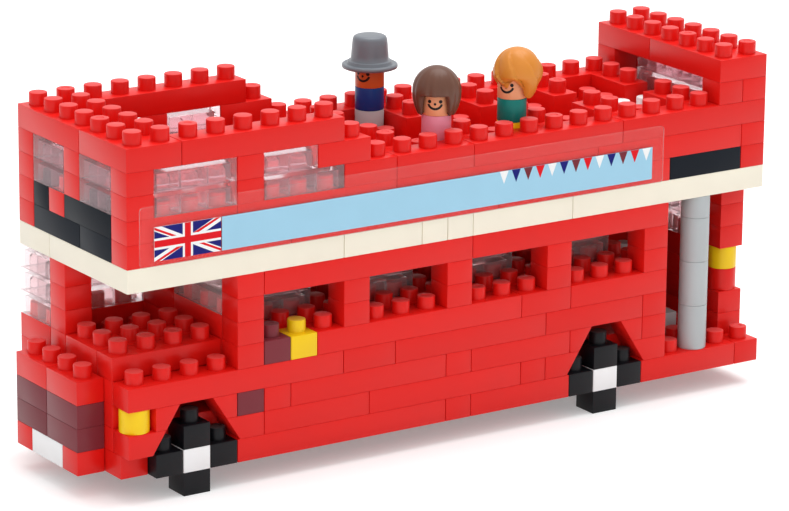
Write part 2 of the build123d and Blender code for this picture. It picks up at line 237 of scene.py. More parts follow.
def pick(piece, faces=None, edges=None, points=None):
    """Selects the faces, edges or points of a piece in edit mode that pass a test."""
    bpy.ops.mesh.select_all(action="DESELECT")
    kind = "FACE" if faces else "EDGE" if edges else "VERT"
    bpy.ops.mesh.select_mode(type=kind)
    shape = bmesh.from_edit_mesh(piece.data)
    for element in shape.faces if faces else shape.edges if edges else shape.verts:
        if (faces or edges or points)(element):
            element.select_set(True)
    bmesh.update_edit_mesh(piece.data)


def take_mesh(piece):
    """Keeps a modelled mesh as a pattern for copies, and drops the object that it was made on."""
    deselect_all()
    mesh = piece.data
    bpy.data.objects.remove(piece)
    return mesh


def copy_of(mesh, place, tone=0.0):
    """A copy of a modelled shape with its own mesh, its place in the mesh and a tone for its plastic."""
    own = mesh.copy()
    own.transform(Matrix.Translation(place))
    own.attributes.new("tone", "FLOAT", "POINT").data.foreach_set("value", [tone] * len(own.vertices))
    piece = bpy.data.objects.new("copy", own)
    bpy.context.scene.collection.objects.link(piece)
    return piece


def join(pieces, name):
    """Joins copies into one piece."""
    deselect_all()
    for piece in pieces:
        piece.select_set(True)
    bpy.context.view_layer.objects.active = pieces[0]
    if len(pieces) > 1:
        bpy.ops.object.join()
    piece = bpy.context.view_layer.objects.active
    piece.name = piece.data.name = name
    return piece


def activate(piece):
    """Selects one piece alone and makes it the active one."""
    deselect_all()
    piece.select_set(True)
    bpy.context.view_layer.objects.active = piece


def smooth(piece, degrees=38):
    """Shades a piece smooth, except over edges sharper than an angle."""
    activate(piece)
    bpy.ops.object.shade_smooth_by_angle(angle=math.radians(degrees))


def hand_over(piece, node, material=None):
    """Gives a piece its material, if it has none yet, and puts it in the place of its CAD node."""
    if material:
        piece.data.materials.clear()
        piece.data.materials.append(material)
    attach(piece, "root")
    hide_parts(node)


TONE_STEPS = (12.9898, 78.233, 37.719)     # uneven steps, so that neighbours get unlike tones
TONE_SPREAD = 43758.5453
DIMPLED = 0.62         # studs with a tone above this carry the mould's dimple


def tone_of(point):
    """A steady tone between -1 and 1 for the brick at a point."""
    wave = math.sin(sum(part / MM * step for part, step in zip(point, TONE_STEPS))) * TONE_SPREAD
    return 2 * (wave - math.floor(wave)) - 1


def begin(add, **values):
    """Adds a primitive at the origin and opens it in edit mode, selected all over."""
    deselect_all()
    add(location=(0, 0, 0), **values)
    bpy.ops.object.mode_set(mode="EDIT")
    return bpy.context.active_object


def new_box(size):
    """A new box of a size, in edit mode."""
    piece = begin(bpy.ops.mesh.primitive_cube_add, size=1)
    bpy.ops.transform.resize(value=tuple(size))
    return piece


def close_up():
    """Welds the points of a shape that meet, and turns its faces outward."""
    bpy.ops.mesh.select_all(action="SELECT")
    bpy.ops.mesh.remove_doubles(threshold=WELD)
    bpy.ops.mesh.normals_make_consistent(inside=False)


# Moulded bricks

FROST_AND_HIGHLIGHT_LEAN = 0.5       # faces of a stud that turn upwards by more than this are made rougher and whitened, a painted highlight on the stud tops


def model_square(size, sizes, hollow):
    """A brick with rounded edges, open from below where its hollow shows."""
    piece = new_box(size)
    bpy.ops.mesh.bevel(offset=sizes.edge, segments=2, affect="EDGES")
    if hollow:
        pick(piece, faces=lambda f: f.normal.z < -FACES_ALONG)
        bpy.ops.mesh.inset(thickness=sizes.wall - sizes.edge)
        bpy.ops.mesh.extrude_region_move(TRANSFORM_OT_translate={"value": (0, 0, size[2] - sizes.crown)})
    return take_mesh(piece)


def model_slope(brick, sizes):
    """A brick whose end leans back over a wheel."""
    piece = new_box(brick.high - brick.low)
    for ends, sign in ((brick.foot_x, -1), (brick.top_x, 1)):
        for end, box_end, side in ((ends[0], brick.low.x, -1), (ends[1], brick.high.x, 1)):
            if abs(end - box_end) > sizes.edge:
                pick(piece, points=lambda v: v.co.z * sign > 0 and v.co.x * side > 0)
                bpy.ops.transform.translate(value=(end - box_end, 0, 0))
    bpy.ops.mesh.select_mode(type="EDGE")
    bpy.ops.mesh.select_all(action="SELECT")
    bpy.ops.mesh.bevel(offset=sizes.edge, segments=2, affect="EDGES")
    return take_mesh(piece)


def model_round(height, radius, sizes):
    """A round brick with rounded edges."""
    piece = begin(bpy.ops.mesh.primitive_cylinder_add, vertices=sizes.round_sides, radius=radius, depth=height)
    pick(piece, faces=lambda f: abs(f.normal.z) > FACES_ALONG)
    bpy.ops.mesh.bevel(offset=sizes.round_edge, segments=2, affect="EDGES")
    return take_mesh(piece)


def model_stud(sizes, dimpled):
    """A stud with a rounded top edge, and on some the dimple left by the mould."""
    depth = sizes.stud_height + sizes.sink
    piece = begin(bpy.ops.mesh.primitive_cylinder_add, vertices=sizes.stud_sides, radius=sizes.stud_radius,
                  depth=depth)
    pick(piece, faces=lambda f: f.normal.z > FACES_ALONG)
    bpy.ops.mesh.bevel(offset=sizes.stud_edge, segments=2, affect="EDGES")
    if dimpled:
        pick(piece, faces=lambda f: f.normal.z > FACES_ALONG)
        bpy.ops.mesh.inset(thickness=sizes.stud_radius - sizes.stud_edge - sizes.gate_radius)
        bpy.ops.mesh.inset(thickness=sizes.gate_slope, depth=-sizes.gate_depth)
    mesh = take_mesh(piece)
    mesh.transform(Matrix.Translation((0, 0, sizes.stud_height - depth / 2)))
    # marks the upward faces, which the plastic makes rougher and whitens with a painted highlight
    tops = [float(polygon.normal.z > FROST_AND_HIGHLIGHT_LEAN) for polygon in mesh.polygons]
    mesh.attributes.new("frost_and_painted_highlight", "FLOAT", "FACE").data.foreach_set("value", tops)
    return mesh


PATTERNS = {}


def pattern(key, make, *values):
    """A shape that repeats, modelled the first time that it is asked for."""
    if key not in PATTERNS:
        PATTERNS[key] = make(*values)
    return PATTERNS[key]


def stud_places(brick, sizes):
    """Where a brick carries studs that nothing stands on."""
    across_x = max(1, round((brick.high.x - brick.low.x + sizes.seam) / sizes.pitch))
    across_y = max(1, round((brick.high.y - brick.low.y + sizes.seam) / sizes.pitch))
    for a in range(across_x):
        for b in range(across_y):
            x = (brick.low.x + brick.high.x) / 2 + (a - (across_x - 1) / 2) * sizes.pitch
            y = (brick.low.y + brick.high.y) / 2 + (b - (across_y - 1) / 2) * sizes.pitch
            if not covered(x, y, brick.high.z):
                yield Vector((x, y, brick.high.z))


def add_ribs(brick, sizes, tone):
    """The ribs that stand across the hollow of a clear brick, between the studs that reach up into it."""
    size = brick.high - brick.low
    middle = (brick.low + brick.high) / 2
    along = 0 if size.x >= size.y else 1
    count = round((size[along] + sizes.seam) / sizes.pitch)
    rib = [side - 2 * (sizes.wall + sizes.rib_gap) for side in size]
    rib[along] = sizes.rib
    rib[2] = size.z - sizes.crown - 2 * sizes.rib_gap
    shape = pattern(("rib", *(round(side / MM, 2) for side in rib)), model_square, tuple(rib), sizes, False)
    for number in range(1, count):
        place = Vector((middle.x, middle.y, brick.low.z + sizes.rib_gap + rib[2] / 2))
        place[along] += (number - count / 2) * sizes.pitch
        yield copy_of(shape, place, tone)


def dress_node(node, material, sizes, hollow=False, studs=True, ribs=False):
    """Makes the moulded bricks of one CAD node, with their studs and ribs, as one piece."""
    pieces = []
    for brick in bricks_of(node, sizes.course):
        size = brick.high - brick.low
        middle = (brick.low + brick.high) / 2
        tone = tone_of(middle)
        is_slope = max(abs(brick.foot_x[0] - brick.top_x[0]), abs(brick.foot_x[1] - brick.top_x[1])) > sizes.edge
        if brick.is_round:
            key = ("round", round(size.z / MM, 2))
            shape = pattern(key, model_round, size.z, size.x / 2, sizes)
        elif is_slope:
            shape = model_slope(brick, sizes)
        else:
            key = ("square", hollow, *(round(side / MM, 2) for side in size))
            shape = pattern(key, model_square, tuple(size), sizes, hollow)
        pieces.append(copy_of(shape, middle, tone))
        if ribs:
            pieces += add_ribs(brick, sizes, tone)
        if studs and not brick.is_round:
            for place in stud_places(brick, sizes):
                dimpled = tone_of(place) > DIMPLED
                stud = pattern(("stud", dimpled), model_stud, sizes, dimpled)
                pieces.append(copy_of(stud, place, tone))
    piece = join(pieces, node + "_moulded")
    smooth(piece)
    hand_over(piece, node, material)


# Materials

PAINTED_HIGHLIGHT_VEIL = 0.05          # how much a stud top is whitened, a painted highlight
FROST_ROUGHNESS = 0.15     # and how much rougher it is
FLOW_ROUGHNESS = 0.06      # how far flow marks take the roughness of a plastic up and down
CLEAR_HAZE = (0.03, 0.14)  # roughness of clear plastic
CLEAR_SHARE = 0.87         # light that goes through clear plastic
CLEAR_IOR = 1.12
FILM_COLOUR = (0.93, 0.90, 0.90, 1)
FILM_IOR = 1.45
FILM_SCUFFS = (0.8, 1.2)   # opacity of the film, as a share, from its clearest to its most scuffed spot
FILM_ROUGHNESS = (0.10, 0.22)


def wire(tree, source, output, target, socket):
    """Links an output of one node to a socket of another."""
    tree.links.new(source.outputs[output], target.inputs[socket])


def map_range(tree, span, values):
    """A node that carries one span of values over to another."""
    node = tree.nodes.new("ShaderNodeMapRange")
    node.inputs["From Min"].default_value, node.inputs["From Max"].default_value = span
    node.inputs["To Min"].default_value, node.inputs["To Max"].default_value = values
    return node


def combine(tree, operation, first, second):
    """A node that makes one number of two, each given as a node and its output."""
    node = tree.nodes.new("ShaderNodeMath")
    node.operation = operation
    wire(tree, *first, node, 0)
    wire(tree, *second, node, 1)
    return node


def new_material(name):
    """A new material with its node tree and shader."""
    material = bpy.data.materials.new(name)
    material.use_nodes = True
    return material, material.node_tree, material.node_tree.nodes["Principled BSDF"]


def marks(tree, scale, detail):
    """Uneven marks that stay with the piece."""
    place = tree.nodes.new("ShaderNodeTexCoord")
    noise = tree.nodes.new("ShaderNodeTexNoise")
    noise.inputs["Scale"].default_value = scale
    noise.inputs["Detail"].default_value = detail
    wire(tree, place, "Object", noise, "Vector")
    return noise


def attribute(tree, name):
    """A value that is kept in the mesh."""
    node = tree.nodes.new("ShaderNodeAttribute")
    node.attribute_name = name
    return node


def spread(tree, source, span, values):
    """The strength of marks or of an attribute, carried over to another span."""
    node = map_range(tree, span, values)
    wire(tree, source, "Fac", node, "Value")
    return node


def moulded_plastic(name, base, roughness=0.36, mottle=0.03, tone=0.03, gloss=0.27):
    """Glossy moulded plastic: a tone for each brick, faint flow marks, and stud tops made rougher and whitened with
    a painted highlight.
    """
    material, tree, shader = new_material(name)
    shader.inputs["Specular IOR Level"].default_value = gloss
    flow = marks(tree, scale=260, detail=1)
    frost_and_painted_highlight = attribute(tree, "frost_and_painted_highlight")

    brick_tone = spread(tree, attribute(tree, "tone"), (-1, 1), (1 - tone, 1 + tone))
    flow_tone = spread(tree, flow, (0, 1), (1 - mottle, 1 + mottle))
    light = combine(tree, "MULTIPLY", (brick_tone, "Result"), (flow_tone, "Result"))
    tint = tree.nodes.new("ShaderNodeVectorMath")
    tint.operation = "SCALE"
    tint.inputs[0].default_value = base
    wire(tree, light, "Value", tint, "Scale")
    surface = tree.nodes.new("ShaderNodeMix")
    surface.data_type = "RGBA"
    surface.inputs["B"].default_value = (1, 1, 1, 1)
    # the upward faces of the studs are whitened here: a painted highlight
    wire(tree, spread(tree, frost_and_painted_highlight, (0, 1), (0, PAINTED_HIGHLIGHT_VEIL)), "Result", surface, "Factor")
    wire(tree, tint, "Vector", surface, "A")
    wire(tree, surface, "Result", shader, "Base Color")

    flow_gloss = spread(tree, flow, (0, 1), (roughness - FLOW_ROUGHNESS, roughness + FLOW_ROUGHNESS))
    frost_gloss = spread(tree, frost_and_painted_highlight, (0, 1), (0, FROST_ROUGHNESS))
    rough = combine(tree, "ADD", (flow_gloss, "Result"), (frost_gloss, "Result"))
    wire(tree, rough, "Value", shader, "Roughness")
    return material


def print_ink(name, ink):
    """Flat ink, printed on the banner."""
    return moulded_plastic(name, ink, roughness=0.42, tone=0, gloss=0.12)


def clear_plastic(name, tint):
    """Clear moulded plastic with faint flow lines in it; its tint is painted light, not the plastic's own colour.
    """
    material, tree, shader = new_material(name)
    shader.inputs["Transmission Weight"].default_value = CLEAR_SHARE
    shader.inputs["IOR"].default_value = CLEAR_IOR
    shader.inputs["Base Color"].default_value = (*tint, 1)
    flow = marks(tree, scale=700, detail=3)
    wire(tree, spread(tree, flow, (0, 1), CLEAR_HAZE), "Result", shader, "Roughness")
    bump = tree.nodes.new("ShaderNodeBump")
    bump.inputs["Strength"].default_value = 0.15
    bump.inputs["Distance"].default_value = 0.05 * MM
    wire(tree, flow, "Fac", bump, "Height")
    wire(tree, bump, "Normal", shader, "Normal")
    return material


def film(name, opacity):
    """Thin clear film that lies on the bricks and whitens them a little."""
    material, tree, shader = new_material(name)
    shader.inputs["Base Color"].default_value = FILM_COLOUR
    shader.inputs["IOR"].default_value = FILM_IOR
    scuffs = marks(tree, scale=160, detail=5)
    veil = [opacity * share for share in FILM_SCUFFS]
    wire(tree, spread(tree, scuffs, (0, 1), veil), "Result", shader, "Alpha")
    wire(tree, spread(tree, scuffs, (0, 1), FILM_ROUGHNESS), "Result", shader, "Roughness")
    return material


# Pieces

def nodes_in(*slots):
    """The CAD nodes that have one of the material slots, in a steady order."""
    return [node for node in sorted(SLOTS) if SLOTS[node] in slots]


class BusOperator:
    """What the bus's operators share: an undo step and a plain way to reach the settings"""
    bl_options = {"REGISTER", "UNDO"}

    @staticmethod
    def settings(context):
        return context.scene.bus_bricks, context.scene.bus_colours


class TOURBUS_OT_red_body(BusOperator, bpy.types.Operator):
    """Moulds the red bricks of the body, course by course"""
    bl_idname = "tourbus.red_body"
    bl_label = "Red Body"

    HOLLOW = ("sill_bricks", "roof_cap_bricks")
    BARE = ("chassis_floor_bricks",)

    def execute(self, context):
        sizes, colours = self.settings(context)
        find_covers(sizes.course)
        red = moulded_plastic("red_plastic", colours.red)
        for node in nodes_in("red_brick"):
            dress_node(node, red, sizes, hollow=node in self.HOLLOW, studs=node not in self.BARE)
        return {"FINISHED"}


class TOURBUS_OT_coloured_bricks(BusOperator, bpy.types.Operator):
    """Moulds the cream band, the dark panels, the brown and yellow bricks, the stairs and the number plate"""
    bl_idname = "tourbus.coloured_bricks"
    bl_label = "Coloured Bricks"

    HOLLOW = ("cream_band_bricks", "number_plate_brick")

    def execute(self, context):
        sizes, colours = self.settings(context)
        plastics = {
            "cream_brick": moulded_plastic("cream_plastic", colours.cream, tone=0.012),
            "charcoal_brick": moulded_plastic("charcoal_plastic", colours.charcoal, tone=0.12, gloss=0.05),
            "brown_brick": moulded_plastic("brown_plastic", colours.brown, tone=0.10, gloss=0.20),
            "yellow_brick": moulded_plastic("yellow_plastic", colours.yellow, tone=0.03),
            "white_brick": moulded_plastic("white_plastic", colours.white, tone=0.02),
            "grey_brick": moulded_plastic("grey_plastic", colours.grey, tone=0.03),
        }
        for node in nodes_in(*plastics):
            if not node.startswith(RIDERS):
                dress_node(node, plastics[SLOTS[node]], sizes, hollow=node in self.HOLLOW,
                           studs=node != "cream_band_bricks")
        return {"FINISHED"}


class TOURBUS_OT_clear_bricks(BusOperator, bpy.types.Operator):
    """Moulds the clear bricks of the windows, hollow so that the studs under them show"""
    bl_idname = "tourbus.clear_bricks"
    bl_label = "Clear Bricks"

    def execute(self, context):
        sizes, colours = self.settings(context)
        # one clear plastic in two copies: the saloon's is paler, painted light for bricks deep in shade; the deck's
        # is pinker, painted red bounce light
        saloon = clear_plastic("saloon_clear_painted_light_plastic", colours.saloon_clear_painted_light)
        deck = clear_plastic("deck_clear_painted_bounce_plastic", colours.deck_clear_painted_bounce)
        for node in nodes_in("clear_brick"):
            clear = saloon if node.startswith("saloon") else deck
            dress_node(node, clear, sizes, hollow=True, ribs=True)
        return {"FINISHED"}


class TOURBUS_OT_wheels(BusOperator, bpy.types.Operator):
    """Moulds the black bricks of the wheels"""
    bl_idname = "tourbus.wheels"
    bl_label = "Wheels"

    def execute(self, context):
        sizes, colours = self.settings(context)
        black = moulded_plastic("black_plastic", colours.black, tone=0.15, gloss=0.20)
        for node in nodes_in("black_brick"):
            dress_node(node, black, sizes, hollow=True)
        return {"FINISHED"}


def sheet_piece(low, high, name):
    """A new flat sheet between two corners, in edit mode, to be shaped further."""
    piece = new_box(high - low)
    piece.name = piece.data.name = name
    bpy.ops.transform.translate(value=tuple((low + high) / 2))
    return piece


class TOURBUS_OT_banner(BusOperator, bpy.types.Operator):
    """Lays the clear film on the left side, with its flag and its light blue strip of pennants"""
    bl_idname = "tourbus.banner"
    bl_label = "Banner"

    CORNER = 0.5 * MM                            # rounding of the film's corners
    OPACITY, EDGE_OPACITY = 0.028, 0.30          # of the film, and of its cut edge
    RED_ARM, WHITE_ARM = 1 / 10, 1 / 6           # half widths of the upright cross, in flag heights
    RED_STRIPE, WHITE_STRIPE = 1 / 15, 1 / 10    # the same for the diagonal stripes
    UPRIGHT = Matrix(((-1, 0, 0, 0), (0, 0, 1, 0), (0, 1, 0, 0), (0, 0, 0, 1)))    # stands a flat print on the side
    PENNANTS = 13
    PENNANT_ROW = (0.64, 0.985)                  # where the pennants hang along the strip
    PENNANT_SIZE = (0.70 * MM, 1.7 * MM)         # half width and drop
    PENNANT_SKIN = 0.03 * MM                     # thickness of the print

    def execute(self, context):
        colours = context.scene.bus_colours
        self.film_sheet()
        self.flag(colours)
        self.strip(colours)
        return {"FINISHED"}

    def film_sheet(self):
        """The clear film, with rounded corners and a paler edge."""
        low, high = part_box("banner_film")
        sheet = sheet_piece(low, high, "banner_clear_film")
        pick(sheet, edges=lambda e: abs((e.verts[0].co - e.verts[1].co).normalized().y) > FACES_ALONG)
        bpy.ops.mesh.bevel(offset=self.CORNER, segments=4, affect="EDGES")
        deselect_all()
        sheet.data.materials.append(film("banner_film", self.OPACITY))
        sheet.data.materials.append(film("banner_film_edge", self.EDGE_OPACITY))
        for polygon in sheet.data.polygons:
            polygon.material_index = 0 if abs(polygon.normal.y) > FACES_ALONG else 1
        hand_over(sheet, "banner_film")

    def flag(self, colours):
        """The flag, cut along the lines of its crosses and inked face by face."""
        low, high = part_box("banner_flag_panel")
        panel = sheet_piece(low, high, "banner_flag")
        middle = (low + high) / 2
        tall, wide = high.z - low.z, high.x - low.x
        cuts = [((1, 0, 0), arm * tall) for arm in (-self.WHITE_ARM, -self.RED_ARM, self.RED_ARM, self.WHITE_ARM)]
        cuts += [((0, 0, 1), offset) for _, offset in cuts]
        for lean in (-1, 1):
            across = Vector((-lean * tall, 0, wide)).normalized()
            for stripe in (-self.WHITE_STRIPE, -self.RED_STRIPE, 0, self.RED_STRIPE, self.WHITE_STRIPE):
                cuts.append((tuple(across), stripe * tall))
        for normal, offset in cuts:
            bpy.ops.mesh.select_all(action="SELECT")
            bpy.ops.mesh.bisect(plane_co=middle + Vector(normal) * offset, plane_no=normal)
        deselect_all()
        names = ("flag_white", "flag_red", "flag_blue")
        inks = (colours.white, colours.flag_red, colours.flag_blue)
        for name, ink in zip(names, inks):
            panel.data.materials.append(print_ink(name, ink))
        for polygon in panel.data.polygons:
            right = (middle.x - polygon.center.x) / tall
            up = (polygon.center.z - middle.z) / tall
            front = polygon.normal.y > FACES_ALONG
            polygon.material_index = self.flag_ink(right, up, wide / tall) if front else 0
        hand_over(panel, "banner_flag_panel")

    def flag_ink(self, right, up, ratio):
        """Which ink a point of the flag has, measured in flag heights from its middle: 0 white, 1 red, 2 blue."""
        if min(abs(right), abs(up)) < self.RED_ARM:
            return 1
        if min(abs(right), abs(up)) < self.WHITE_ARM:
            return 0
        outward = Vector((math.copysign(ratio, right), math.copysign(1, up))).normalized()
        beside = outward.x * up - outward.y * right
        if 0 < beside < self.RED_STRIPE:
            return 1
        return 0 if abs(beside) < self.WHITE_STRIPE else 2

    def strip(self, colours):
        """The light blue strip and the row of pennants on it."""
        low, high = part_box("banner_sky_panel")
        sheet = sheet_piece(low, high, "banner_strip")
        deselect_all()
        hand_over(sheet, "banner_sky_panel", print_ink("light_blue_print", colours.sky))
        inks = [print_ink(name, ink) for name, ink in (
            ("pennant_white", colours.white), ("pennant_blue", colours.flag_blue),
            ("pennant_brown", colours.brown), ("pennant_red", colours.flag_red))]
        half, drop = self.PENNANT_SIZE
        start, end = self.PENNANT_ROW
        row = []
        for index in range(self.PENNANTS):
            share = start + (end - start) * index / (self.PENNANTS - 1)
            place = Vector((high.x + (low.x - high.x) * share, high.y, high.z))
            pennant = copy_of(pattern("pennant", self.model_pennant, half, drop), place)
            pennant.data.materials.append(inks[index % len(inks)])
            row.append(pennant)
        pennants = join(row, "banner_pennants")
        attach(pennants, "root")

    def model_pennant(self, half, drop):
        """A small printed pennant that hangs from the top of the strip."""
        piece = begin(bpy.ops.mesh.primitive_plane_add, size=2)
        bpy.ops.transform.resize(value=(half, drop / 2, 1))
        bpy.ops.transform.translate(value=(0, -drop / 2, 0))
        pick(piece, points=lambda v: v.co.y < -drop / 2)
        bpy.ops.mesh.merge(type="CENTER")
        bpy.ops.mesh.select_all(action="SELECT")
        bpy.ops.mesh.extrude_region_move(TRANSFORM_OT_translate={"value": (0, 0, self.PENNANT_SKIN)})
        close_up()
        mesh = take_mesh(piece)
        mesh.transform(self.UPRIGHT)
        return mesh


def rider_axis(rider):
    """The foot of a rider's head, and the head's radius."""
    low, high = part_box(rider + "_body")
    middle = (low + high) / 2
    return Vector((middle.x, middle.y, high.z)), (high.x - low.x) / 2


class TOURBUS_OT_rider_bricks(BusOperator, bpy.types.Operator):
    """Moulds the round bricks that the riders are made of"""
    bl_idname = "tourbus.rider_bricks"
    bl_label = "Rider Bricks"

    def execute(self, context):
        sizes, colours = self.settings(context)
        plastics = {
            "hat_rider_legs": ("leg_grey_plastic", colours.grey), "hat_rider_body": ("navy_plastic", colours.navy),
            "bob_rider_legs": ("leg_pink_plastic", colours.pink), "bob_rider_body": ("pink_plastic", colours.pink),
            "swept_rider_legs": ("leg_yellow_plastic", colours.yellow),
            "swept_rider_body": ("teal_plastic", colours.teal),
        }
        for node, (name, ink) in plastics.items():
            dress_node(node, moulded_plastic(name, ink, tone=0), sizes, studs=False)
        skins = {"hat_rider": moulded_plastic("tan_plastic", colours.tan, tone=0)}
        peach = moulded_plastic("peach_plastic", colours.peach, tone=0)
        heads = []
        for rider in RIDERS:
            foot, radius = rider_axis(rider)
            shape = pattern(("round", round(sizes.course / MM, 2)), model_round, sizes.course, radius, sizes)
            head = copy_of(shape, foot + Vector((0, 0, sizes.course / 2)))
            head.data.materials.append(skins.get(rider, peach))
            heads.append(head)
        piece = join(heads, "rider_heads_moulded")
        smooth(piece)
        hand_over(piece, "rider_heads")
        return {"FINISHED"}


class TOURBUS_OT_rider_faces(BusOperator, bpy.types.Operator):
    """Prints a plain smiling face on each rider's head"""
    bl_idname = "tourbus.rider_faces"
    bl_label = "Rider Faces"

    PRINT = 0.03 * MM                            # thickness of the print
    SUNK = 0.01 * MM                             # how far it reaches into the head
    DOT_SIDES, SMILE_STEPS = 16, 18
    EYE = (0.74 * MM, 1.98 * MM, 0.24 * MM)      # beside the middle, above the head's foot, radius
    NOSE = (0.0, 1.66 * MM, 0.17 * MM)
    SMILE = (1.98 * MM, 0.98 * MM, 0.15 * MM)    # middle above the head's foot, radius, half width of the line
    SMILE_SWEEP = math.radians(138)

    def execute(self, context):
        ink = moulded_plastic("face_print", context.scene.bus_colours.face_ink, roughness=0.45, tone=0, gloss=0.2)
        beside, above, radius = self.EYE
        features = [self.dot(-beside, above, radius), self.dot(beside, above, radius), self.dot(*self.NOSE),
                    self.smile()]
        faces = []
        for rider in RIDERS:
            foot, head_radius = rider_axis(rider)
            for feature in features:
                print_mesh = feature.copy()
                self.wrap(print_mesh, foot, head_radius, math.radians(FACING[rider]))
                faces.append(copy_of(print_mesh, (0, 0, 0)))
        piece = join(faces, "rider_faces")
        piece.data.materials.append(ink)
        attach(piece, "root")
        return {"FINISHED"}

    def dot(self, beside, above, radius):
        """A flat round dot, drawn as if the head were unrolled."""
        piece = begin(bpy.ops.mesh.primitive_circle_add, vertices=self.DOT_SIDES, radius=radius, fill_type="NGON")
        bpy.ops.mesh.extrude_region_move(TRANSFORM_OT_translate={"value": (0, 0, self.PRINT)})
        close_up()
        bpy.ops.transform.translate(value=(beside, above, 0))
        return take_mesh(piece)

    def smile(self):
        """A curved line, swept from a small upright rectangle."""
        middle, radius, half = self.SMILE
        piece = begin(bpy.ops.mesh.primitive_plane_add, size=1)
        bpy.ops.transform.resize(value=(2 * half, self.PRINT, 1))
        bpy.ops.transform.rotate(value=math.pi / 2, orient_axis="X", center_override=(0, 0, 0))
        bpy.ops.transform.translate(value=(radius, 0, self.PRINT / 2))
        bpy.ops.mesh.select_all(action="SELECT")
        bpy.ops.mesh.spin(steps=self.SMILE_STEPS, angle=self.SMILE_SWEEP, center=(0, 0, 0), axis=(0, 0, 1))
        close_up()
        mesh = take_mesh(piece)
        angles = [math.atan2(v.co.y, v.co.x) for v in mesh.vertices]
        turn = 1.5 * math.pi - (max(angles) + min(angles)) / 2
        mesh.transform(Matrix.Translation((0, middle, 0)) @ Matrix.Rotation(turn, 4, "Z"))
        return mesh

    def wrap(self, mesh, foot, radius, facing):
        """Rolls a flat print onto a head."""
        for vertex in mesh.vertices:
            beside, above, out = vertex.co
            turn = facing + beside / radius
            reach = radius + out - self.SUNK
            vertex.co = foot + Vector((reach * math.cos(turn), reach * math.sin(turn), above))


class TOURBUS_OT_hat(BusOperator, bpy.types.Operator):
    """Spins the brimmed hat from its outline"""
    bl_idname = "tourbus.hat"
    bl_label = "Hat"

    STEPS = 48
    BORE_GAP = 0.05 * MM     # room between the hat and the head
    SMOOTH = 50              # degrees
    # Radius as a share of the brim's, height as a share of the hat's
    OUTLINE = ((0.93, 0.0), (0.985, 0.02), (1.0, 0.06), (0.99, 0.115), (0.95, 0.14), (0.88, 0.13), (0.82, 0.125),
               (0.80, 0.14), (0.795, 0.20), (0.775, 0.225), (0.70, 0.23), (0.68, 0.25), (0.665, 0.42),
               (0.64, 0.70), (0.615, 0.88), (0.58, 0.955), (0.51, 0.99), (0.38, 1.0), (0.0, 1.0))

    def execute(self, context):
        sizes, colours = self.settings(context)
        low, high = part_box("hat_rider_hat")
        foot, head_radius = rider_axis("hat_rider")
        brim, tall, seat = (high.x - low.x) / 2, high.z - low.z, low.z
        bore, crown = head_radius + self.BORE_GAP, foot.z + sizes.course - seat
        points = [(0, 0, crown), (bore, 0, crown), (bore, 0, 0)]
        points += [(brim * across, 0, tall * up) for across, up in self.OUTLINE]
        mesh = bpy.data.meshes.new("hat_outline")
        mesh.from_pydata(points, [(n, n + 1) for n in range(len(points) - 1)], [])
        hat = bpy.data.objects.new("hat_rider_hat_moulded", mesh)
        context.scene.collection.objects.link(hat)
        activate(hat)
        bpy.ops.object.mode_set(mode="EDIT")
        bpy.ops.mesh.select_all(action="SELECT")
        bpy.ops.mesh.spin(steps=self.STEPS, angle=2 * math.pi, center=(0, 0, 0), axis=(0, 0, 1))
        close_up()
        bpy.ops.transform.translate(value=(foot.x, foot.y, seat))
        smooth(hat, self.SMOOTH)
        hand_over(hat, "hat_rider_hat", moulded_plastic("hat_plastic", colours.hat, tone=0, gloss=0.5))
        return {"FINISHED"}


